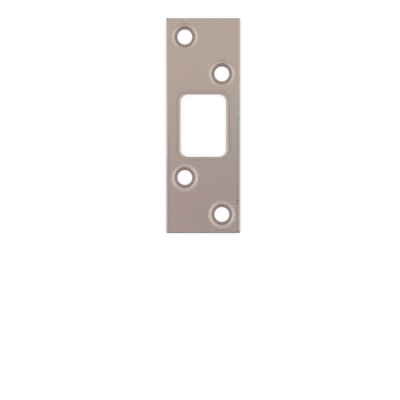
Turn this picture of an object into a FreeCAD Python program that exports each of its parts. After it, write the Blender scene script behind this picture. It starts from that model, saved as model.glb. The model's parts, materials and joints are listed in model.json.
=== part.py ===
"""Deadbolt strike plate: one stamped steel plate with a pierced bolt opening and four coined countersinks.

The plate lies on its back face. +Z is the outward normal of the face that shows on the door jamb, +Y runs along
the plate and +X across it. The origin is the centre of the bolt opening, at the back face.
"""

import FreeCAD, Part
import math
import os
import sys
from functools import partial

import Sketcher

# Driving dimensions, in millimetres and degrees. The plate is laid out in inches: 3-5/8 by 1-1/4 outside,
# with the screw holes on a 5/16 grid.
SIZES = {
    # the blank, cut from 14 gauge strip
    "plate_length": 92.075,
    "plate_width": 31.75,
    "plate_thickness": 1.9,
    "plate_corner_radius": 0.6,
    "front_edge_radius": 0.65,
    "back_edge_radius": 0.15,
    # the opening that the bolt goes through
    "opening_length": 26.7,
    "opening_width": 19.5,
    "opening_corner_radius": 3.175,
    "opening_edge_radius": 0.8,
    # where each end of the plate has its two screw holes, an outer and an inner one, on opposite sides
    "hole_to_side": 7.9375,
    "outer_hole_to_end": 7.9375,
    "inner_hole_to_opening": 8.875,
    # one hole: the bore, and the cone that is sunk over it
    "screw_hole_diameter": 6.3,
    "countersink_diameter": 9.6,
    "countersink_angle": 90.0,
    # the punch that coins the countersink draws the face down around it
    "lip_radius": 0.55,
    "sink_radius": 8.2,
    "sink_width": 1.65,
    # how far a cutting profile runs past the faces that it cuts
    "cut_overrun": 2.0,
}

# Sketcher counts an edge's points from 1: its start, its end and its centre. The axes of a sketch have numbers
# below zero, and the origin is the start of the level one.
START, END, CENTRE = range(1, 4)
LEVEL_AXIS, UPRIGHT_AXIS = range(-1, -3, -1)
ORIGIN = (LEVEL_AXIS, START)

QUARTER_TURN = math.pi / 2
FULL_TURN_DEGREES = 360
SAME_HEIGHT = 1e-6


def fill_spreadsheet(doc):
    """Puts each driving dimension in a cell of its own, under the name that the features use."""
    sheet = doc.addObject("Spreadsheet::Sheet", "Sizes")
    for row, (alias, value) in enumerate(SIZES.items(), start=1):
        sheet.set(f"A{row}", alias)
        sheet.set(f"B{row}", str(value))
        sheet.setAlias(f"B{row}", alias)
    doc.recompute()


def origin_feature(body, role):
    """The plane or axis of the body's own origin that has this role."""
    return next(f for f in body.Origin.OriginFeatures if f.Role == role)


def sketch_on(body, name, plane):
    """An empty sketch on one of the body's origin planes."""
    sketch = body.newObject("Sketcher::SketchObject", name)
    sketch.AttachmentSupport = [(origin_feature(body, plane), "")]
    sketch.MapMode = "FlatFace"
    return sketch


def line(start, end):
    return Part.LineSegment(FreeCAD.Vector(*start), FreeCAD.Vector(*end))


def arc(centre, radius, start, end):
    circle = Part.Circle(FreeCAD.Vector(*centre), FreeCAD.Vector(0, 0, 1), radius)
    return Part.ArcOfCircle(circle, start, end)


def constrain(sketch, kind, *where):
    sketch.addConstraint(Sketcher.Constraint(kind, *where))


def dimension(sketch, kind, name, expression, *where):
    """Adds one dimension and ties it to the spreadsheet. The last item of where is its value to start from."""
    index = sketch.addConstraint(Sketcher.Constraint(kind, *where))
    sketch.renameConstraint(index, name)
    sketch.setExpression(f"Constraints.{name}", expression)


def draw_rounded_rectangle(sketch, length, width, corner_radius):
    """Draws a rectangle with round corners about the sketch's origin and ties it to the three sizes named."""
    tie, size = partial(constrain, sketch), partial(dimension, sketch)
    along, across, radius = SIZES[length], SIZES[width], SIZES[corner_radius]
    x, y = across / 2 - radius, along / 2 - radius
    corner_centres = [(x, -y), (x, y), (-x, y), (-x, -y)]
    corner_arcs = [
        arc(centre, radius, (turn - 1) * QUARTER_TURN, turn * QUARTER_TURN)
        for turn, centre in enumerate(corner_centres)
    ]
    corners = [sketch.addGeometry(corner) for corner in corner_arcs]
    sides = [
        sketch.addGeometry(Part.LineSegment(before.EndPoint, after.StartPoint))
        for before, after in zip(corner_arcs[-1:] + corner_arcs[:-1], corner_arcs)
    ]
    bottom, right, top, left = sides

    for side, corner, next_side in zip(sides, corners, sides[1:] + sides[:1]):
        tie("Tangent", side, END, corner, START)
        tie("Tangent", corner, END, next_side, START)
    for side in (bottom, top):
        tie("Horizontal", side)
    for side in (right, left):
        tie("Vertical", side)
    for corner in corners[1:]:
        tie("Equal", corners[0], corner)
    tie("Symmetric", corners[0], CENTRE, corners[2], CENTRE, *ORIGIN)
    size("Radius", "corner_radius", f"Sizes.{corner_radius}", corners[0], radius)
    size("DistanceX", "across", f"Sizes.{width}", left, START, right, START, across)
    size("DistanceY", "along", f"Sizes.{length}", bottom, START, top, START, along)


def sink_slope(steepest):
    """How far the face has turned down, in radians, where the sink's large arc meets the lip's small one.

    Both arcs together turn the face into the cone, which is steepest radians down. Their radii and the sink's
    width, measured from the cone's sharp mouth, leave one slope for the point where they meet.
    """
    width, large, small = SIZES["sink_width"], SIZES["sink_radius"], SIZES["lip_radius"]
    cosine = (width * math.sin(steepest) + large * math.cos(steepest) - small) / (large - small)
    return steepest - math.acos(cosine)


def draw_countersink_section(sketch):
    """Draws half of what the punch takes away: the hole's axis is upright, and the back face is at zero.

    From the back: the bore, the cone, the small arc of the lip, and the large arc over which the face sinks.
    """
    tie, size = partial(constrain, sketch), partial(dimension, sketch)
    face, overrun = SIZES["plate_thickness"], SIZES["cut_overrun"]
    lip_radius, sink_radius, sink_width = SIZES["lip_radius"], SIZES["sink_radius"], SIZES["sink_width"]
    bore_radius = SIZES["screw_hole_diameter"] / 2
    mouth_radius = SIZES["countersink_diameter"] / 2
    rim_radius = mouth_radius + sink_width
    half_angle = math.radians(SIZES["countersink_angle"] / 2)
    steepest = QUARTER_TURN - half_angle
    slope = sink_slope(steepest)
    cone_foot = face - (mouth_radius - bore_radius) / math.tan(half_angle)

    sink_arc = arc((rim_radius, face - sink_radius), sink_radius, QUARTER_TURN, QUARTER_TURN + slope)
    lip_centre = sink_arc.EndPoint + FreeCAD.Vector(math.sin(slope), -math.cos(slope)) * lip_radius
    lip_arc = arc(lip_centre, lip_radius, QUARTER_TURN + slope, QUARTER_TURN + steepest)

    floor = sketch.addGeometry(line((0, -overrun), (bore_radius, -overrun)))
    bore = sketch.addGeometry(line((bore_radius, -overrun), (bore_radius, cone_foot)))
    cone = sketch.addGeometry(line((bore_radius, cone_foot), lip_arc.EndPoint))
    lip = sketch.addGeometry(lip_arc)
    sink = sketch.addGeometry(sink_arc)
    rim = sketch.addGeometry(line((rim_radius, face), (rim_radius, face + overrun)))
    ceiling = sketch.addGeometry(line((rim_radius, face + overrun), (0, face + overrun)))
    axis = sketch.addGeometry(line((0, face + overrun), (0, -overrun)))
    sharp_mouth = sketch.addGeometry(Part.Point(FreeCAD.Vector(mouth_radius, face)), True)

    for before, after in [(floor, bore), (bore, cone), (rim, ceiling), (ceiling, axis), (axis, floor)]:
        tie("Coincident", before, END, after, START)
    tie("Coincident", sink, START, rim, START)
    tie("Tangent", cone, END, lip, END)
    tie("Tangent", lip, START, sink, END)
    tie("Vertical", sink, START, sink, CENTRE)
    for upright in (bore, rim):
        tie("Vertical", upright)
    for level in (floor, ceiling):
        tie("Horizontal", level)
    for end in (START, END):
        tie("PointOnObject", axis, end, UPRIGHT_AXIS)
    tie("PointOnObject", sharp_mouth, START, cone)
    tie("Horizontal", sharp_mouth, START, rim, START)

    size("DistanceY", "below", "Sizes.cut_overrun", floor, END, *ORIGIN, overrun)
    size("DistanceY", "above", "Sizes.cut_overrun", rim, START, rim, END, overrun)
    size("DistanceY", "face", "Sizes.plate_thickness", *ORIGIN, rim, START, face)
    size("DistanceX", "bore", "Sizes.screw_hole_diameter / 2", *ORIGIN, bore, START, bore_radius)
    size("DistanceX", "mouth", "Sizes.countersink_diameter / 2", *ORIGIN, sharp_mouth, START, mouth_radius)
    size("DistanceX", "sink_width", "Sizes.sink_width", sharp_mouth, START, rim, START, sink_width)
    size("Radius", "lip_radius", "Sizes.lip_radius", lip, lip_radius)
    size("Radius", "sink_radius", "Sizes.sink_radius", sink, sink_radius)
    size("Angle", "flare", "Sizes.countersink_angle / 2", cone, START, bore, START, half_angle)


def cut_countersink(body, name, across, along):
    """Turns one countersink out of the plate. across and along are expressions for where its axis stands.

    A sketch on the XZ plane looks along +Y, so its own normal, along which it is offset, points to -Y.
    """
    section = sketch_on(body, f"{name}_section", "XZ_Plane")
    section.setExpression("AttachmentOffset.Base.x", across)
    section.setExpression("AttachmentOffset.Base.z", f"-1 * ({along})")
    draw_countersink_section(section)
    groove = body.newObject("PartDesign::Groove", name)
    groove.Profile = section
    groove.ReferenceAxis = (section, ["V_Axis"])
    groove.Angle = FULL_TURN_DEGREES
    body.Document.recompute()
    return groove


def flat_face_at(shape, height):
    """The largest flat face of the shape at this height above the back face."""
    level = [
        face
        for face in shape.Faces
        if isinstance(face.Surface, Part.Plane) and abs(face.CenterOfMass.z - height) < SAME_HEIGHT
    ]
    return max(level, key=lambda face: face.Area)


def round_edges(body, name, height, radius, around_opening):
    """Rounds the edges that a flat face shares with the bolt opening, or with the plate's outline."""
    base = body.Tip
    face = flat_face_at(base.Shape, height)
    wires = [wire for wire in face.Wires if wire.isSame(face.OuterWire) != around_opening]
    wanted = [edge for wire in wires for edge in wire.Edges]
    names = [
        f"Edge{number}"
        for number, edge in enumerate(base.Shape.Edges, start=1)
        if any(edge.isSame(other) for other in wanted)
    ]
    fillet = body.newObject("PartDesign::Fillet", name)
    fillet.Base = (base, names)
    fillet.setExpression("Radius", f"Sizes.{radius}")
    body.Document.recompute()


def build_plate(doc):
    """Blanks the plate, pierces the opening, rounds the edges and coins the four countersinks."""
    body = doc.addObject("PartDesign::Body", "strike_plate")
    body.Label = "strike_plate"

    outline = sketch_on(body, "plate_outline", "XY_Plane")
    draw_rounded_rectangle(outline, "plate_length", "plate_width", "plate_corner_radius")
    blank = body.newObject("PartDesign::Pad", "blank")
    blank.Profile = outline
    blank.setExpression("Length", "Sizes.plate_thickness")
    doc.recompute()

    opening_outline = sketch_on(body, "opening_outline", "XY_Plane")
    opening_outline.setExpression("AttachmentOffset.Base.z", "Sizes.plate_thickness")
    draw_rounded_rectangle(opening_outline, "opening_length", "opening_width", "opening_corner_radius")
    opening = body.newObject("PartDesign::Pocket", "bolt_opening")
    opening.Profile = opening_outline
    opening.Type = "ThroughAll"
    doc.recompute()

    back, front = 0, SIZES["plate_thickness"]
    round_edges(body, "front_edge", front, "front_edge_radius", around_opening=False)
    round_edges(body, "opening_edge", front, "opening_edge_radius", around_opening=True)
    round_edges(body, "back_edge", back, "back_edge_radius", around_opening=False)

    # The plate is the same turned end for end, so the two countersinks at one end give the two at the other.
    right_column = "Sizes.plate_width / 2 - Sizes.hole_to_side"
    outer_row = "Sizes.plate_length / 2 - Sizes.outer_hole_to_end"
    inner_row = "Sizes.opening_length / 2 + Sizes.inner_hole_to_opening"
    countersinks = [
        cut_countersink(body, "outer_countersink", f"-1 * ({right_column})", outer_row),
        cut_countersink(body, "inner_countersink", right_column, inner_row),
    ]
    end_for_end = body.newObject("PartDesign::PolarPattern", "countersinks_end_for_end")
    end_for_end.Originals = countersinks
    end_for_end.Axis = (origin_feature(body, "Z_Axis"), [""])
    end_for_end.Angle = FULL_TURN_DEGREES
    end_for_end.Occurrences = 2
    body.Tip = end_for_end
    doc.recompute()
    return body


def check_document(doc, bodies):
    """Stops the build if an object failed, a sketch is loose, a cut took nothing or a body isn't one solid."""
    for item in doc.Objects:
        if "Invalid" in item.State or "Error" in item.State:
            sys.exit(f"{item.Name} failed: {item.getStatusString()}")
        if item.isDerivedFrom("Sketcher::SketchObject") and not item.FullyConstrained:
            sys.exit(f"{item.Name} isn't fully constrained")
        base = getattr(item, "BaseFeature", None)
        if base is not None and item.Shape.Volume >= base.Shape.Volume:
            sys.exit(f"{item.Name} takes no metal away")
    for body in bodies:
        shape = body.Shape
        if shape.isNull() or not shape.isValid() or len(shape.Solids) != 1:
            sys.exit(f"{body.Label} isn't one sound solid")


def main():
    doc = FreeCAD.newDocument("StrikePlate")
    fill_spreadsheet(doc)
    bodies = [build_plate(doc)]
    check_document(doc, bodies)
    os.makedirs("parts", exist_ok=True)
    for body in bodies:
        body.Shape.exportStep(f"parts/{body.Label}.step")
        box = body.Shape.optimalBoundingBox()
        size = f"{box.XLength:.3f} x {box.YLength:.3f} x {box.ZLength:.3f} mm"
        print(f"{body.Label}: {size}, {body.Shape.Volume:.1f} mm3, {len(body.Shape.Faces)} faces")


main()
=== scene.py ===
# %% [markdown]
# # A deadbolt strike plate in satin nickel
#
# A strike plate is the piece of a lock that sits in the door's frame, and the bolt goes through its large
# opening. It is stamped from steel strip about 2 mm thick: a press cuts the outline and the opening, and
# a punch presses the cone of each countersink into the metal. Then the plate is brushed and plated.
#
# The CAD model gives the exact sizes. Here the same plate is modelled again as a mesh of clean quads,
# because a satin metal shows every break in the shading, and then it gets its finish, its light and a
# camera.

import json
import math

import bmesh
import bpy
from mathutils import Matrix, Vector

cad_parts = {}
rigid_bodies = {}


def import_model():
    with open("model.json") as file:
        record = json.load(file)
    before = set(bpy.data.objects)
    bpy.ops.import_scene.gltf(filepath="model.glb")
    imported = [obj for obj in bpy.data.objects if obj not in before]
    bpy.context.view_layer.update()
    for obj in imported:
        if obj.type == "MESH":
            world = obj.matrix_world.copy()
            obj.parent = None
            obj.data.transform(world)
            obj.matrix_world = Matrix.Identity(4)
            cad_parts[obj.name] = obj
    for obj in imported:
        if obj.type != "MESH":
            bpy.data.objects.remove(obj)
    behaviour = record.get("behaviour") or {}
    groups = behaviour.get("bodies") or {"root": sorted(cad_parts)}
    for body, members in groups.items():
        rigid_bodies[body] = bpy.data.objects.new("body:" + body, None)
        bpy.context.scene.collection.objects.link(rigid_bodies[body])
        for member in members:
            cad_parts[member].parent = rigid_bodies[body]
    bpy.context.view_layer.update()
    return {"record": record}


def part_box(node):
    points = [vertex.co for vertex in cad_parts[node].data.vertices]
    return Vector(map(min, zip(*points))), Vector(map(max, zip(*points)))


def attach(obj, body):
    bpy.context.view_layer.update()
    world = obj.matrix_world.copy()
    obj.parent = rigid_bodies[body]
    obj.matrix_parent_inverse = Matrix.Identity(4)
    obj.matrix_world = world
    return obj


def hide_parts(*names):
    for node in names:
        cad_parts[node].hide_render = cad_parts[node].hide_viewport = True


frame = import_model()
MM = 0.001

plate_low, plate_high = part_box("strike_plate")
plate_width = plate_high.x - plate_low.x
plate_length = plate_high.y - plate_low.y
plate_thickness = plate_high.z - plate_low.z
print(f"plate: {plate_width / MM:.2f} x {plate_length / MM:.2f} x {plate_thickness / MM:.2f} mm")

# %% [markdown]
# ## Where the screw holes are
#
# The holes' places could be typed in again, but then they could drift from the CAD model. The packed
# record names each column of holes as a mount, with its centre and the distance between its two holes, so
# they come from there.

# %% The screw holes
mounts = {mount["name"]: mount for mount in frame["record"]["mounts"]}
screw_holes = []
for column in ("left_screws", "right_screws"):
    middle_x, middle_y, _ = mounts[column]["pos_m"]
    half_spacing = mounts[column]["dims"]["spacing_y_mm"] * MM / 2
    screw_holes += [(middle_x, middle_y + side * half_spacing) for side in (1, -1)]
bore_radius = mounts["left_screws"]["dims"]["hole_r_mm"] * MM
for x, y in screw_holes:
    print(f"screw hole at {x / MM:.2f}, {y / MM:.2f} mm, bore radius {bore_radius / MM:.2f} mm")

# %% [markdown]
# ## Picking by place
#
# In a window one would click on faces and edges. In a script they are picked by where they are, so one
# helper deselects everything and then selects the faces or edges that pass a test.

# %% Picking faces and edges
NEAR = 0.01 * MM


def middle(item):
    """The middle of a face or an edge."""
    return sum((corner.co for corner in item.verts), Vector()) / len(item.verts)


def pick(kind, test):
    """Selects in edit mode only the faces, or only the edges, that pass the test, and counts them."""
    bpy.ops.mesh.select_mode(type=kind)
    bpy.ops.mesh.select_all(action="DESELECT")
    mesh = bmesh.from_edit_mesh(bpy.context.object.data)
    items = {"EDGE": mesh.edges, "FACE": mesh.faces}[kind]
    found = [item for item in items if test(item)]
    for item in found:
        item.select_set(True)
    mesh.select_flush_mode()
    bmesh.update_edit_mesh(bpy.context.object.data)
    return len(found)


def from_axis(item, x, y):
    """How far the middle of an item is from the upright axis through x, y."""
    place = middle(item)
    return math.hypot(place.x - x, place.y - y)


def is_open(edge):
    """Whether an edge is the rim of a sheet or has no face at all."""
    return edge.is_boundary or edge.is_wire


def merge_doubles():
    """Merges the vertices of the whole mesh that lie in one place."""
    bpy.ops.mesh.select_all(action="SELECT")
    bpy.ops.mesh.remove_doubles(threshold=NEAR / 10)


# %% [markdown]
# ## A flat sheet with its holes
#
# The front and the back of the plate are the same flat sheet, only with wider or narrower round holes. A
# sheet could be one large face with holes cut by a boolean, but that leaves long thin triangles that
# shade badly. Instead it is a grid. Around each hole a square block of cells is taken out, and the square
# rim is bridged to a circle that has as many points. Every hole centre is a quarter of the plate's width
# from the sides, so the grid's lines fall evenly around it when both ends of the plate are square grids.
# The middle of the plate is a grid of its own, and its rim is bridged to the opening. The circles and the
# outline of the opening float a millimetre above the sheet until it is done, and then all is scaled flat.

# %% The sheet's grid
CELLS_ACROSS = 32
MIDDLE_ROWS = 28
HOLE_BLOCK_CELLS = 14
OPENING_BLOCK_CELLS = 22
FLOAT_HEIGHT = 1 * MM

cell = plate_width / CELLS_ACROSS
middle_length = plate_length - 2 * plate_width
end_centre = (middle_length + plate_width) / 2


def add_grid(rows, centre_y):
    """Adds a flat grid as wide as the plate, in edit mode, with cells that are square or nearly so."""
    bpy.ops.mesh.primitive_grid_add(
        x_subdivisions=CELLS_ACROSS, y_subdivisions=rows, size=plate_width, location=(0, centre_y, 0)
    )


def start_sheet(name):
    """A new mesh at the origin, left in edit mode: the middle grid and the two end grids as one sheet."""
    bpy.ops.object.select_all(action="DESELECT")
    add_grid(MIDDLE_ROWS, 0)
    sheet = bpy.context.object
    sheet.name = name
    bpy.ops.object.mode_set(mode="EDIT")
    bpy.ops.transform.resize(value=(1, middle_length / plate_width, 1), center_override=(0, 0, 0))
    for side in (-1, 1):
        add_grid(CELLS_ACROSS, side * end_centre)
    merge_doubles()
    return sheet


print(f"grid cell {cell / MM:.3f} mm, middle rows {middle_length / MIDDLE_ROWS / MM:.3f} mm")

# %% Round holes in the sheet


def in_block(item, x, y, half_block):
    """Whether the middle of an item lies in the square block of cells around a hole."""
    place = middle(item)
    return abs(place.x - x) < half_block and abs(place.y - y) < half_block


def cut_round_hole(x, y, radius):
    """Takes a square block of cells out and bridges its rim to a circle with as many points."""
    half_block = HOLE_BLOCK_CELLS / 2 * cell
    pick("FACE", lambda face: in_block(face, x, y, half_block))
    bpy.ops.mesh.delete(type="FACE")
    bpy.ops.mesh.primitive_circle_add(
        vertices=4 * HOLE_BLOCK_CELLS, radius=radius, location=(x, y, FLOAT_HEIGHT)
    )
    pick("EDGE", lambda edge: is_open(edge) and in_block(edge, x, y, half_block + NEAR))
    bpy.ops.mesh.bridge_edge_loops()


# %% [markdown]
# ## The bolt opening
#
# The opening is a rectangle with round corners. It starts as a plane of the opening's size: a vertex
# bevel rounds its corners with true arcs, and its straight sides are divided until the outline has as
# many edges as the rim that it is bridged to. Half of each corner's arc faces each side of that rim, so
# the bridge doesn't twist.

# %% The opening in the sheet
OPENING_WIDTH = 19.5 * MM
OPENING_LENGTH = 26.7 * MM
OPENING_CORNER_RADIUS = 3.175 * MM
OPENING_CORNER_STEPS = 12


def divide_sides(along_x, rim_edges):
    """Divides the two sides that run along X, or along Y, into the edges that the arcs leave over."""

    def is_side(edge):
        span = edge.verts[0].co - edge.verts[1].co
        reach = abs(span.x) if along_x else abs(span.y)
        return edge.is_wire and reach > OPENING_CORNER_RADIUS

    pick("EDGE", is_side)
    bpy.ops.mesh.subdivide(number_cuts=rim_edges - OPENING_CORNER_STEPS - 1)


def cut_opening():
    """Takes the middle of the sheet out and bridges its rim to the outline of the opening."""
    half_block = OPENING_BLOCK_CELLS / 2 * cell
    half_rows = middle_length / 2
    pick("FACE", lambda face: abs(middle(face).x) < half_block and abs(middle(face).y) < half_rows)
    bpy.ops.mesh.delete(type="FACE")

    bpy.ops.mesh.primitive_plane_add(size=1, location=(0, 0, FLOAT_HEIGHT))
    bpy.ops.transform.resize(value=(OPENING_WIDTH, OPENING_LENGTH, 1), center_override=(0, 0, 0))
    bpy.ops.mesh.bevel(
        affect="VERTICES", offset=OPENING_CORNER_RADIUS, segments=OPENING_CORNER_STEPS, clamp_overlap=False
    )
    pick("FACE", lambda face: abs(middle(face).x) < cell and abs(middle(face).y) < cell)
    bpy.ops.mesh.delete(type="ONLY_FACE")
    divide_sides(along_x=True, rim_edges=OPENING_BLOCK_CELLS)
    divide_sides(along_x=False, rim_edges=MIDDLE_ROWS)

    def faces_opening(edge):
        place = middle(edge)
        return is_open(edge) and abs(place.x) < half_block + NEAR and abs(place.y) < half_rows + NEAR

    print("edges around the opening:", pick("EDGE", faces_opening))
    bpy.ops.mesh.bridge_edge_loops()


def make_sheet(name, height, hole_radius):
    """A flat sheet at this height, with four round holes and the opening."""
    sheet = start_sheet(name)
    for x, y in screw_holes:
        cut_round_hole(x, y, hole_radius)
    cut_opening()
    bpy.ops.mesh.select_all(action="SELECT")
    bpy.ops.transform.resize(value=(1, 1, 0), center_override=(0, 0, 0))
    bpy.ops.transform.translate(value=(0, 0, height))
    bpy.ops.object.mode_set(mode="OBJECT")
    print(name, len(sheet.data.polygons), "faces")
    return sheet


# %% [markdown]
# ## The countersink's profile
#
# A cutter would leave a sharp edge where a countersink meets the face. This one is coined: the punch
# drags the face down around the hole, first over a wide shallow arc and then over a small one, the lip,
# that turns into the cone. These are the soft bright ring and the thin line around each hole in daylight.
# The profile is worked out as rings, each a radius and a height, from the flat face down to the back.

# %% The rings of one countersink
MOUTH_RADIUS = 4.8 * MM
CONE_HALF_ANGLE = math.radians(45)
LIP_RADIUS = 0.55 * MM
SINK_RADIUS = 8.2 * MM
SINK_WIDTH = 1.65 * MM
SINK_STEPS = 8
LIP_STEPS = 9
CONE_STEPS = 4
BORE_STEPS = 2

rim_radius = MOUTH_RADIUS + SINK_WIDTH
cone_slope = math.pi / 2 - CONE_HALF_ANGLE


def meeting_slope():
    """The slope at which the wide arc meets the lip, so that both fit between face and cone."""
    reach = SINK_WIDTH * math.sin(cone_slope) + SINK_RADIUS * math.cos(cone_slope) - LIP_RADIUS
    return cone_slope - math.acos(reach / (SINK_RADIUS - LIP_RADIUS))


def arc_rings(radius, height, arc_radius, start_slope, end_slope, steps):
    """Rings down an arc that starts at this radius and height and steepens to end_slope."""
    rings = []
    for step in range(1, steps + 1):
        slope = start_slope + (end_slope - start_slope) * step / steps
        inwards = arc_radius * (math.sin(slope) - math.sin(start_slope))
        down = arc_radius * (math.cos(start_slope) - math.cos(slope))
        rings.append((radius - inwards, height - down))
    return rings


def straight_rings(start, end, steps):
    """Rings evenly spaced from one ring to another, without the first."""
    return [
        tuple(a + (b - a) * step / steps for a, b in zip(start, end))
        for step in range(1, steps + 1)
    ]


cone_foot = plate_thickness - (MOUTH_RADIUS - bore_radius) / math.tan(CONE_HALF_ANGLE)
sink = arc_rings(rim_radius, plate_thickness, SINK_RADIUS, 0, meeting_slope(), SINK_STEPS)
lip = arc_rings(*sink[-1], LIP_RADIUS, meeting_slope(), cone_slope, LIP_STEPS)
cone = straight_rings(lip[-1], (bore_radius, cone_foot), CONE_STEPS)
bore = straight_rings(cone[-1], (bore_radius, 0), BORE_STEPS)
countersink_rings = sink + lip + cone + bore
print(f"sink {(plate_thickness - sink[-1][1]) / MM:.3f} mm deep, cone foot at {cone_foot / MM:.3f} mm")

# %% [markdown]
# ## Pressing the countersinks in
#
# The front sheet has holes as wide as the sunk rims. The rim of each is selected and pulled down ring by
# ring, as one would with extrude and scale: every ring is extruded, moved down and drawn in around the
# hole's own axis.

# %% The two sheets, and the countersinks


def press_countersink(x, y):
    """Extrudes the rim of one hole down along the rings, to the back of the plate."""
    pick("EDGE", lambda edge: edge.is_boundary and from_axis(edge, x, y) < rim_radius + NEAR)
    radius, height = rim_radius, plate_thickness
    for next_radius, next_height in countersink_rings:
        bpy.ops.mesh.extrude_edges_move(
            TRANSFORM_OT_translate={"value": (0, 0, next_height - height)}
        )
        drawn_in = next_radius / radius
        bpy.ops.transform.resize(value=(drawn_in, drawn_in, 1), center_override=(x, y, next_height))
        radius, height = next_radius, next_height


front = make_sheet("front_sheet", plate_thickness, rim_radius)
back = make_sheet("back_sheet", 0, bore_radius)

bpy.ops.object.select_all(action="DESELECT")
front.select_set(True)
bpy.context.view_layer.objects.active = front
bpy.ops.object.mode_set(mode="EDIT")
for x, y in screw_holes:
    press_countersink(x, y)
bpy.ops.object.mode_set(mode="OBJECT")
print("front sheet with countersinks:", len(front.data.polygons), "faces")

# %% [markdown]
# ## Closing the plate
#
# The two sheets are joined. Each bore's last ring meets the back sheet's circle point for point, so
# merging the doubles closes the holes, and a bridge between the two outlines, and between the two
# openings, makes the walls.

# %% Joining the sheets and making the walls


def on_outline(item):
    """Whether the middle of an item lies on one of the four sides of the plate."""
    place = middle(item)
    return abs(place.x) > plate_width / 2 - NEAR or abs(place.y) > plate_length / 2 - NEAR


bpy.ops.object.select_all(action="DESELECT")
back.select_set(True)
front.select_set(True)
bpy.context.view_layer.objects.active = front
bpy.ops.object.join()
plate = bpy.context.object
plate.name = "nickel_plate"
plate.data.name = "nickel_plate"
bpy.ops.object.mode_set(mode="EDIT")
merge_doubles()
print("outline edges:", pick("EDGE", lambda edge: edge.is_boundary and on_outline(edge)))
bpy.ops.mesh.bridge_edge_loops()
print("opening edges:", pick("EDGE", lambda edge: edge.is_boundary))
bpy.ops.mesh.bridge_edge_loops()
bpy.ops.mesh.select_all(action="SELECT")
bpy.ops.mesh.normals_make_consistent(inside=False)
print("open edges left:", pick("EDGE", is_open))
bpy.ops.object.mode_set(mode="OBJECT")

# %% [markdown]
# ## Corners and edges
#
# The outline's four corners are rounded first, as bevels of the upright edges. The sheared walls are then
# cut across by a plane where the burnished band at the front turns into the rough fracture band at the
# back. Last come the edges: the press drags the front edges round, most of all at the opening, and the
# outline's back edge is only deburred. Such small edges could be left to the shading, but each rolled
# edge shows as a bright line from afar, so they are true bevels.

# %% Round corners and a line around the walls
OUTLINE_CORNER_RADIUS = 0.6 * MM
OUTLINE_CORNER_STEPS = 8
BURNISH_FOOT = 0.6 * MM
UPRIGHT = 0.1


def is_corner(edge):
    """Whether an edge stands at a corner of the outline."""
    place = middle(edge)
    on_side = abs(place.x) > plate_width / 2 - NEAR
    on_end = abs(place.y) > plate_length / 2 - NEAR
    return on_side and on_end


def near_bore(item):
    """Whether an item belongs to one of the screw holes."""
    return any(from_axis(item, x, y) < MOUTH_RADIUS for x, y in screw_holes)


def is_wall(face):
    """Whether a face stands upright, on the outline or in the opening."""
    return abs(face.normal.z) < UPRIGHT and not near_bore(face)


bpy.ops.object.mode_set(mode="EDIT")
print("upright corner edges:", pick("EDGE", is_corner))
bpy.ops.mesh.bevel(
    offset=OUTLINE_CORNER_RADIUS, segments=OUTLINE_CORNER_STEPS, affect="EDGES", clamp_overlap=False
)
print("wall faces:", pick("FACE", is_wall))
bpy.ops.mesh.bisect(plane_co=(0, 0, BURNISH_FOOT), plane_no=(0, 0, 1), threshold=NEAR)
bpy.ops.object.mode_set(mode="OBJECT")
print("plate:", len(plate.data.polygons), "faces")

# %% Rolled front edges and a deburred back edge
FRONT_EDGE_RADIUS = 0.65 * MM
OPENING_EDGE_RADIUS = 0.8 * MM
BACK_EDGE_RADIUS = 0.15 * MM
SQUARE_EDGE = math.radians(80)


def in_opening(item):
    """Whether the middle of an item lies in the opening or on its outline."""
    place = middle(item)
    return abs(place.x) < OPENING_WIDTH / 2 + NEAR and abs(place.y) < OPENING_LENGTH / 2 + NEAR


def is_rim(edge, height):
    """Whether an edge lies at this height where a flat face of the plate meets an upright wall."""
    level = all(abs(vertex.co.z - height) < NEAR for vertex in edge.verts)
    return level and len(edge.link_faces) == 2 and edge.calc_face_angle() > SQUARE_EDGE


def round_rim(height, inside, radius, steps):
    """Rounds the rim of the opening, or the rim of the outline, at this height."""

    def in_this_rim(edge):
        return is_rim(edge, height) and in_opening(edge) == inside and not near_bore(edge)

    count = pick("EDGE", in_this_rim)
    bpy.ops.mesh.bevel(
        offset=radius, segments=steps, affect="EDGES", clamp_overlap=False, loop_slide=False
    )
    print(f"rim of {count} edges rounded by {radius / MM:.2f} mm")


bpy.ops.object.mode_set(mode="EDIT")
round_rim(plate_thickness, inside=False, radius=FRONT_EDGE_RADIUS, steps=6)
round_rim(plate_thickness, inside=True, radius=OPENING_EDGE_RADIUS, steps=8)
round_rim(0, inside=False, radius=BACK_EDGE_RADIUS, steps=3)
bpy.ops.mesh.select_all(action="DESELECT")
bpy.ops.object.mode_set(mode="OBJECT")
print("plate:", len(plate.data.polygons), "faces")

# %% [markdown]
# ## Smooth shading with flat faces kept flat
#
# All edges sharper than 40 degrees stay hard, which leaves the rolled edges and the lips soft. Smooth
# shading alone would bend the light on the flat faces beside each roll, so a Weighted Normal modifier
# gives the large flat faces the say over the narrow ones.

# %% Shading the plate
HARD_EDGE = math.radians(40)
bpy.ops.object.shade_smooth_by_angle(angle=HARD_EDGE, keep_sharp_edges=True)
bpy.ops.object.modifier_add(type="WEIGHTED_NORMAL")
weighted = plate.modifiers[-1]
weighted.mode = "FACE_AREA"
weighted.weight = 50
weighted.keep_sharp = True
bpy.ops.object.modifier_apply(modifier=weighted.name)

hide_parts("strike_plate")
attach(plate, "root")
print("box of the plate:", [round(side / MM, 3) for side in plate.dimensions])

# %% [markdown]
# ## Writing shader maths as plain expressions
#
# A finish is a handful of masks multiplied and added. With one Math node for each step they are hard to
# read, so a small class wraps a socket and lets Python's own signs add the nodes. Every other node comes
# from one method, which takes the node's type, its settings and what goes into its sockets.

# %% Numbers in a shader


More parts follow.
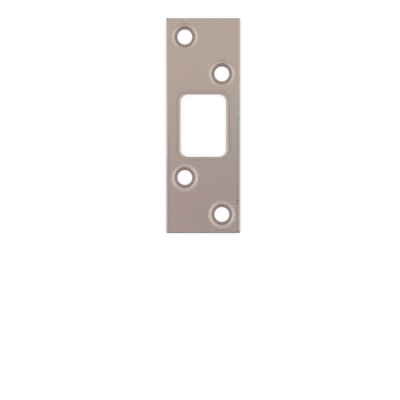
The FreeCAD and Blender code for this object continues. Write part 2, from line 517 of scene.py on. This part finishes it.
class Number:
    """A number in a node tree: an output socket that Python's own signs add, subtract and multiply."""

    def __init__(self, finish, socket):
        self.finish = finish
        self.socket = socket

    def _maths(self, operation, *values):
        node = self.finish.node("ShaderNodeMath", {"operation": operation}, dict(enumerate(values)))
        return Number(self.finish, node.outputs[0])

    def __add__(self, other):
        return self._maths("ADD", self, other)

    def __radd__(self, other):
        return self._maths("ADD", other, self)

    def __sub__(self, other):
        return self._maths("SUBTRACT", self, other)

    def __rsub__(self, other):
        return self._maths("SUBTRACT", other, self)

    def __mul__(self, other):
        return self._maths("MULTIPLY", self, other)

    def __rmul__(self, other):
        return self._maths("MULTIPLY", other, self)

    def __abs__(self):
        return self._maths("ABSOLUTE", self)

    def largest(self, other):
        """The larger of the two numbers."""
        return self._maths("MAXIMUM", self, other)

    def root(self):
        """The square root."""
        return self._maths("SQRT", self)

    def rising(self, start, end):
        """0 below start, 1 above end, a soft step between them. For a fall, start is the larger."""
        node = self.finish.node(
            "ShaderNodeMapRange",
            {"interpolation_type": "SMOOTHSTEP"},
            {"Value": self, "From Min": start, "From Max": end},
        )
        return Number(self.finish, node.outputs["Result"])


def between(low, high, share):
    """low where the share is 0, high where it is 1, and evenly between them."""
    return low + (high - low) * share


# %% One way to add nodes


class Finish:
    """A material or a world, and the one way in which its nodes are added."""

    def __init__(self, owner):
        self.owner = owner
        owner.use_nodes = True
        self.tree = owner.node_tree
        self.tree.nodes.clear()

    def node(self, kind, settings=None, sockets=None):
        """Adds a node: its settings first, and then a value or a link for each of the inputs given."""
        node = self.tree.nodes.new(kind)
        for name, value in (settings or {}).items():
            setattr(node, name, value)
        for name, value in (sockets or {}).items():
            if isinstance(value, Number):
                value = value.socket
            if isinstance(value, bpy.types.NodeSocket):
                self.tree.links.new(value, node.inputs[name])
            else:
                node.inputs[name].default_value = value
        return node

    def number(self, kind, output, settings=None, sockets=None):
        """Adds a node and wraps one of its outputs."""
        return Number(self, self.node(kind, settings, sockets).outputs[output])

    def mixed(self, first, second, share, blend="MIX"):
        """A colour between two others, or the first one changed by the second with another blend."""
        settings = {"data_type": "RGBA", "blend_type": blend}
        node = self.node("ShaderNodeMix", settings, {"Factor": share, 6: first, 7: second})
        return node.outputs[2]


# %% [markdown]
# ## Satin nickel
#
# The plate is brushed along its length and then nickel plated. From near, that shows as very fine lines,
# and from the camera's distance only as a soft sheen. A picture of brushed metal could be wrapped
# around the plate, but noise stretched lengthwise needs no unwrapping and never repeats. The steel under
# it isn't quite even, so the colour and the gloss drift a little over a centimetre or two. On the cones,
# the lips and the rolled edges the nickel is a little paler and greyer: partly burnish, where the press
# has rubbed the metal hard, and partly a painted highlight. The sunk rims of the two lower holes get this
# paler colour too, but less, as a painted highlight only. It has a greyer cast along the right side, from
# the opening down, and around the opening's edge, except above it; at the edge the grey is a painted tint
# of the highlight on the rolled edge. There a cast multiplies the colour, so only its tint moves and its
# lightness stays.
#
# In the holes, in the opening and around the outline the press has sheared the metal: the front of the
# wall is rubbed bright by the die, and the back is torn, rough and darker, with a wavy border between
# them. Both bands are found by the wall's upright normal and by height, in Object coordinates, so they
# follow the metal and not the camera.

# %% Where a point of the metal is, and how it faces
nickel_material = bpy.data.materials.new("satin_nickel")
nickel = Finish(nickel_material)
place = nickel.node("ShaderNodeTexCoord").outputs["Object"]
spot = nickel.node("ShaderNodeSeparateXYZ", sockets={"Vector": place})
across = Number(nickel, spot.outputs["X"])
along = Number(nickel, spot.outputs["Y"])
height = Number(nickel, spot.outputs["Z"])

normal = nickel.node("ShaderNodeNewGeometry").outputs["Normal"]
facing = nickel.node("ShaderNodeSeparateXYZ", sockets={"Vector": normal})

# Facing up is the cosine of the slope: 0.9965 is 5 degrees, 0.96 is 16, 0.88 is 28 and 0.35 is 70.
facing_up = Number(nickel, facing.outputs["Z"])
upright = abs(facing_up).rising(0.35, 0.1)
in_front = facing_up.rising(0.1, 0.35)
# Steep slopes get a paler, greyer colour, partly burnish from the press and partly a painted highlight.
# The sunk rims of the two lower holes get a little of it, as a painted highlight only.
SHARE_OF_SUNK_RIM_HIGHLIGHT = 0.3
highlight_on_sunk_rims = facing_up.rising(0.9995, 0.9965) * along.rising(-5 * MM, -15 * MM)
pressed_and_highlight = facing_up.rising(0.96, 0.88).largest(highlight_on_sunk_rims * SHARE_OF_SUNK_RIM_HIGHLIGHT) * in_front
print("nodes for place and slope:", len(nickel.tree.nodes))


def drift(size, detail=2.0):
    """Noise with soft patches of this size, from 0 to 1."""
    return nickel.number(
        "ShaderNodeTexNoise", "Fac", sockets={"Vector": place, "Scale": 1 / size, "Detail": detail}
    )


# %% Brushed lines, soft clouds and the two bands of the walls
LINE_WIDTH = 0.12 * MM
LENGTHWISE = (1, 0.02, 1)

long_lines = nickel.node("ShaderNodeMapping", sockets={"Vector": place, "Scale": LENGTHWISE})
brushing = nickel.number(
    "ShaderNodeTexNoise",
    "Fac",
    sockets={"Vector": long_lines.outputs[0], "Scale": 1 / LINE_WIDTH, "Detail": 3.0},
)
clouds = drift(14 * MM, detail=3.0)
tint = drift(24 * MM).rising(0.40, 0.60)
torn = drift(0.18 * MM, detail=4.0)
wander = (drift(1.5 * MM) - 0.5) * (0.6 * MM)
torn_below = (height + wander).rising(BURNISH_FOOT + 0.12 * MM, BURNISH_FOOT - 0.05 * MM)
fracture = upright * torn_below
print("nodes with brushing, clouds and bands:", len(nickel.tree.nodes))

# %% [markdown]
# ## Painted shade along the edges, and the marks that the box leaves
#
# A faint darker line of painted shade lies around the opening, a little beyond its rolled edge. It is
# found from the distance to the opening's outline rather than drawn on an image, so it keeps to the edge,
# and noise keeps it from looking drawn. On the right it leans away from the opening towards the lower end,
# and below the opening it is only half as strong. The long sides have such a line of painted shade too,
# fainter towards the upper end. The left rolled edge gets painted shade above and below the opening but
# not beside it, and the rolled edge of the lower end gets a dark line of painted shade.
#
# No plate leaves its box untouched. This one has small nicks along its long edges and at three corners,
# where plates knock together, and one short rub near an end. Each nick is a little ball around a point of
# the face near its edge, made ragged by noise: what lies inside is sunk by a few hundredths of a
# millimetre and darker, partly duller metal and partly painted shade of the dent.

# %% Painted shade along the edges


def distance_from_opening():
    """How far a point of the face is from the opening's outline, negative inside it."""
    beyond_x = abs(across) - (OPENING_WIDTH / 2 - OPENING_CORNER_RADIUS)
    beyond_y = abs(along) - (OPENING_LENGTH / 2 - OPENING_CORNER_RADIUS)
    out_x, out_y = beyond_x.largest(0.0), beyond_y.largest(0.0)
    return (out_x * out_x + out_y * out_y).root() - OPENING_CORNER_RADIUS


# A line of painted shade around the opening, just beyond its rolled edge.
LEAN_OF_LINE = 0.037
from_opening = distance_from_opening()
right_of_opening = across.rising(0.0, 1 * MM) * abs(along).rising(13.5 * MM, 11 * MM)
from_line = from_opening + right_of_opening * along * LEAN_OF_LINE
shade_band_at_opening = from_line.rising(0.7 * MM, 1.15 * MM) * from_line.rising(2.3 * MM, 1.3 * MM)
fainter_below = between(0.45, 1.0, along.rising(-13.5 * MM, -10 * MM))
uneven = between(0.55, 1.35, drift(5 * MM))
shade_line_around_opening = shade_band_at_opening * in_front * fainter_below * uneven

# Lines of painted shade along the long sides, just inside their rolled edges.
from_side = plate_width / 2 - abs(across)
along_sides = from_side.rising(0.5 * MM, 0.9 * MM) * from_side.rising(2.0 * MM, 1.2 * MM)
shade_lines_along_sides = along_sides * in_front * along.rising(20 * MM, -20 * MM) * between(0.4, 1.4, drift(4 * MM))

# Painted shade on the left rolled edge, above and below the opening.
shade_on_left_roll = across.rising(-14.9 * MM, -15.3 * MM) * in_front
past_opening = abs(along + 1 * MM).rising(11 * MM, 15 * MM)
shade_on_left_roll = shade_on_left_roll * past_opening * between(0.6, 1.3, along.rising(0, -22 * MM))

# A dark line of painted shade on the rolled edge of the lower end.
from_lower_end = along + plate_length / 2
shade_at_lower_edge = from_lower_end.rising(0.75 * MM, 0.22 * MM)
shade_line_at_lower_end = shade_at_lower_edge * in_front * between(0.3, 1.6, drift(1.2 * MM, detail=4.0))
print("nodes with the duller lines:", len(nickel.tree.nodes))

# %% Nicks and a rub
# Each nick: its place across and along the plate and its radius, in millimetres.
NICKS = [
    (-15.5, -5.7, 0.70),
    (15.3, 3.2, 0.60),
    (14.4, -30.4, 0.85),
    (14.4, -32.1, 1.10),
    (14.4, -33.4, 0.92),
    (-15.3, 45.4, 0.72),
    (-15.5, -45.4, 0.68),
    (14.8, -45.3, 0.80),
]
raggedness = (drift(0.6 * MM, detail=3.0) - 0.4) * (1.6 * MM)


def nick(x, y, radius):
    """1 in the middle of a nick in the front face or its edge, 0 outside it."""
    centre = (x * MM, y * MM, plate_thickness)
    from_centre = nickel.number(
        "ShaderNodeVectorMath", "Value", {"operation": "DISTANCE"}, {0: place, 1: centre}
    )
    return (from_centre + raggedness).rising(radius * MM, 0.4 * radius * MM)


nicks = nick(*NICKS[0])
for where in NICKS[1:]:
    nicks = nicks.largest(nick(*where))

RUB_FROM_END = 1.14 * MM
rub_line = abs(from_lower_end - RUB_FROM_END).rising(0.30 * MM, 0.08 * MM)
rub_ends = across.rising(5.0 * MM, 6.0 * MM) * across.rising(12.5 * MM, 9.5 * MM)
rub = rub_line * rub_ends * in_front
print(len(NICKS), "nicks and a rub")

# %% Where the nickel is greyer, and the painted tint of the highlight at the opening's edge
grey_side = across.rising(9 * MM, 15.5 * MM) * along.rising(17 * MM, 10 * MM)
grey_side = grey_side * between(0.65, 1.0, along.rising(-13 * MM, -7 * MM))
# Around the opening's edge the grey is a painted tint of the highlight on the rolled edge.
grey_tint_of_rim_highlight = from_opening.rising(1.9 * MM, 0.4 * MM) * along.rising(14 * MM, 11 * MM)
grey_tint_of_rim_highlight = grey_tint_of_rim_highlight * between(0.55, 0.9, along.rising(-13.5 * MM, -10 * MM))
grey_tone_and_highlight_tint = grey_side.largest(grey_tint_of_rim_highlight)

# %% The satin nickel finish
NICKEL = (0.556, 0.445, 0.388, 1)
NICKEL_GREYER = (0.537, 0.45, 0.395, 1)
# Paler, for burnish and for a painted highlight on the slopes.
NICKEL_PRESSED_AND_HIGHLIGHT = (0.566, 0.491, 0.460, 1)
# Darker, for dull metal and for the painted shade lines.
NICKEL_DULL_AND_SHADE = (0.47, 0.377, 0.332, 1)
# Dark, for the rub, for the nicks with their painted shade, and for the painted shade of the lower end.
NICKEL_MARKED_AND_SHADE = (0.24, 0.187, 0.163, 1)
GREY_CAST = (0.92, 1.02, 1.01, 1)

SHARE_OF_CLOUDS = 0.5
SHARE_OF_FRACTURE = 0.6
SHARE_OF_SIDE_SHADE = 0.8
SHARE_OF_NICK_DULL_AND_SHADE = 0.85
SHARE_OF_RUB = 0.3

ROUGHNESS = 0.20
ROUGHER_WHERE_BRUSHED = 0.05
ROUGHER_IN_CLOUDS = 0.05
ROUGHER_WHERE_TORN = 0.25
BRUSHING_DEPTH = 0.0006 * MM
TORN_DEPTH = 0.02 * MM
NICK_DEPTH = 0.035 * MM

clean = nickel.mixed(nickel.mixed(NICKEL, NICKEL_GREYER, tint), NICKEL_PRESSED_AND_HIGHLIGHT, pressed_and_highlight)
dull_metal = clouds * SHARE_OF_CLOUDS + fracture * SHARE_OF_FRACTURE
# The clouds and the torn bands are dull metal; the lines along the edges are painted shade.
shade_lines = shade_line_around_opening + shade_lines_along_sides * SHARE_OF_SIDE_SHADE + shade_on_left_roll
worn_and_shaded = nickel.mixed(clean, NICKEL_DULL_AND_SHADE, dull_metal + shade_lines)
# The rub is a real mark; the nicks' darkness is partly painted shade, and the lower end's line is painted
# shade.
marks_and_shade = (nicks * SHARE_OF_NICK_DULL_AND_SHADE).largest(rub * SHARE_OF_RUB).largest(shade_line_at_lower_end)
marked_and_shaded = nickel.mixed(worn_and_shaded, NICKEL_MARKED_AND_SHADE, marks_and_shade)
colour = nickel.mixed(marked_and_shaded, GREY_CAST, grey_tone_and_highlight_tint, blend="MULTIPLY")

brushed = brushing * ROUGHER_WHERE_BRUSHED
roughness = ROUGHNESS + brushed + clouds * ROUGHER_IN_CLOUDS + fracture * ROUGHER_WHERE_TORN
relief = (1 - upright) * brushing * BRUSHING_DEPTH + fracture * torn * TORN_DEPTH - nicks * NICK_DEPTH
bump = nickel.node("ShaderNodeBump", sockets={"Strength": 1.0, "Distance": 1.0, "Height": relief})
surface = nickel.node(
    "ShaderNodeBsdfPrincipled",
    sockets={"Base Color": colour, "Metallic": 1.0, "Roughness": roughness, "Normal": bump.outputs[0]},
)
nickel.node("ShaderNodeOutputMaterial", sockets={"Surface": surface.outputs[0]})
plate.data.materials.clear()
plate.data.materials.append(nickel_material)
print("nodes in the nickel:", len(nickel.tree.nodes))

# %% [markdown]
# ## The floor
#
# The plate lies on a plain white ground. A floor that is only lit would turn out grey here and burnt out
# there, so most of its white is its own, seen by the camera, by the metal and through the holes alike,
# and the rest is lit, and keeps the plate's shadow.

# %% The white floor
WHITE = (1, 1, 1, 1)
FLOOR_SIZE = 8
GROUND_COLOUR = (0.92, 0.92, 0.92, 1)
GROUND_GLOW = 1.07
SHARE_OF_GLOW = 0.72

bpy.ops.object.select_all(action="DESELECT")
bpy.ops.mesh.primitive_plane_add(size=FLOOR_SIZE, location=(0, 0, 0))
floor = bpy.context.object
floor.name = "floor"

floor_material = bpy.data.materials.new("white_ground")
ground = Finish(floor_material)
rays = ground.node("ShaderNodeLightPath").outputs
seen = Number(ground, rays["Is Camera Ray"]).largest(Number(ground, rays["Is Glossy Ray"]))
seen = seen.largest(Number(ground, rays["Is Transmission Ray"]))
lit = ground.node("ShaderNodeBsdfDiffuse", sockets={"Color": GROUND_COLOUR})
glow = ground.node("ShaderNodeEmission", sockets={"Color": WHITE, "Strength": GROUND_GLOW})
both = ground.node(
    "ShaderNodeMixShader", sockets={0: seen * SHARE_OF_GLOW, 1: lit.outputs[0], 2: glow.outputs[0]}
)
ground.node("ShaderNodeOutputMaterial", sockets={"Surface": both.outputs[0]})
floor.data.materials.append(floor_material)
print("floor:", FLOOR_SIZE, "m wide")

# %% [markdown]
# ## The light
#
# A satin metal shows the room more than the lamps: each slope of the plate mirrors another part of it,
# blurred. The room here is a white tent. Its roof is brighter than its walls, which keeps the flat face
# paler than the cones, and its two side walls are brighter than its ends. Low down a white horizon meets
# the floor. Two long soft lamps, left and right of the camera, light the slopes that face the sides, so
# each countersink gets its bright crescents and the long edges their bright lines.

# %% The tent
tent = Finish(bpy.data.worlds.new("white_tent"))
bpy.context.scene.world = tent.owner
direction = tent.node("ShaderNodeTexCoord").outputs["Generated"]
towards = tent.node("ShaderNodeSeparateXYZ", sockets={"Vector": direction})
sideways = abs(Number(tent, towards.outputs["X"]))
beyond_top = Number(tent, towards.outputs["Y"])
up = Number(tent, towards.outputs["Z"])

END_LEVEL = 0.35
SIDE_LEVEL = 0.65
ROOF_LEVEL = 0.85
UPPER_END_EXTRA = 0.04
walls = between(END_LEVEL, SIDE_LEVEL, sideways) + UPPER_END_EXTRA * beyond_top
walls_and_roof = between(walls, ROOF_LEVEL, up.rising(0.30, 0.85))
level = between(walls_and_roof, 1, up.rising(0.10, 0.05))
tent_white = tent.node("ShaderNodeBackground", sockets={"Color": WHITE, "Strength": level})
tent.node("ShaderNodeOutputWorld", sockets={"Surface": tent_white.outputs[0]})
print("nodes in the tent:", len(tent.tree.nodes))

# %% The two long lamps
LAMP_HEIGHT = 0.60
LAMP_ASIDE = 0.50
LAMP_WIDTH = 0.75
LAMP_LENGTH = 1.2
LAMP_GLOW = 0.45

for side in (-1, 1):
    bpy.ops.object.light_add(
        type="AREA",
        location=(side * LAMP_ASIDE, 0, LAMP_HEIGHT),
        rotation=(0, side * math.atan2(LAMP_ASIDE, LAMP_HEIGHT), 0),
    )
    lamp = bpy.context.object
    lamp.name = "long_lamp_right" if side > 0 else "long_lamp_left"
    lamp.data.shape = "RECTANGLE"
    lamp.data.size = LAMP_WIDTH
    lamp.data.size_y = LAMP_LENGTH
    lamp.data.energy = LAMP_GLOW * math.pi * LAMP_WIDTH * LAMP_LENGTH
    print(lamp.name, "power", round(lamp.data.energy, 2), "W")

# %% [markdown]
# ## The camera
#
# The photograph looks straight down at the plate from about 70 cm with a long lens, and the plate isn't
# in the middle of the frame: the camera stands a little to the left of it and nearer to its lower end.
# The metal there mirrors the camera itself, which is why the lower half of the plate is darker and less
# yellow. So the camera gets a dark violet body, a plain disc behind the lens that the camera itself
# doesn't see.

# %% The camera over the plate
CAMERA_X = -1.43 * MM
CAMERA_Y = -31.88 * MM
CAMERA_ABOVE_FACE = 713.5 * MM
LENS_MM = 150
SENSOR_MM = 36
NEAREST_SEEN = 10 * MM

camera_place = (CAMERA_X, CAMERA_Y, plate_thickness + CAMERA_ABOVE_FACE)
bpy.ops.object.camera_add(location=camera_place, rotation=(0, 0, 0))
camera = bpy.context.object
camera.data.lens = LENS_MM
camera.data.sensor_width = SENSOR_MM
camera.data.clip_start = NEAREST_SEEN
bpy.context.scene.camera = camera
bpy.context.scene.view_settings.view_transform = "Standard"
print(f"camera {CAMERA_ABOVE_FACE:.3f} m above the face, lens {LENS_MM} mm")

# %% The camera's dark body
BODY_RADIUS = 54.5 * MM
BODY_X = 10 * MM
BODY_Y = CAMERA_Y - 15 * MM
BODY_HEIGHT = CAMERA_ABOVE_FACE + 30 * MM
DARK_VIOLET = (0.15, 0.05, 0.22, 1)

bpy.ops.object.select_all(action="DESELECT")
bpy.ops.mesh.primitive_circle_add(
    vertices=64, radius=BODY_RADIUS, fill_type="NGON", location=(BODY_X, BODY_Y, BODY_HEIGHT)
)
camera_body = bpy.context.object
camera_body.name = "camera_body"
camera_body.visible_camera = False
body_material = bpy.data.materials.new("dark_violet")
violet = Finish(body_material)
matt = violet.node("ShaderNodeBsdfDiffuse", sockets={"Color": DARK_VIOLET})
violet.node("ShaderNodeOutputMaterial", sockets={"Surface": matt.outputs[0]})
camera_body.data.materials.append(body_material)
print(f"camera body: a disc of {2 * BODY_RADIUS / MM:.0f} mm at {BODY_HEIGHT:.3f} m")
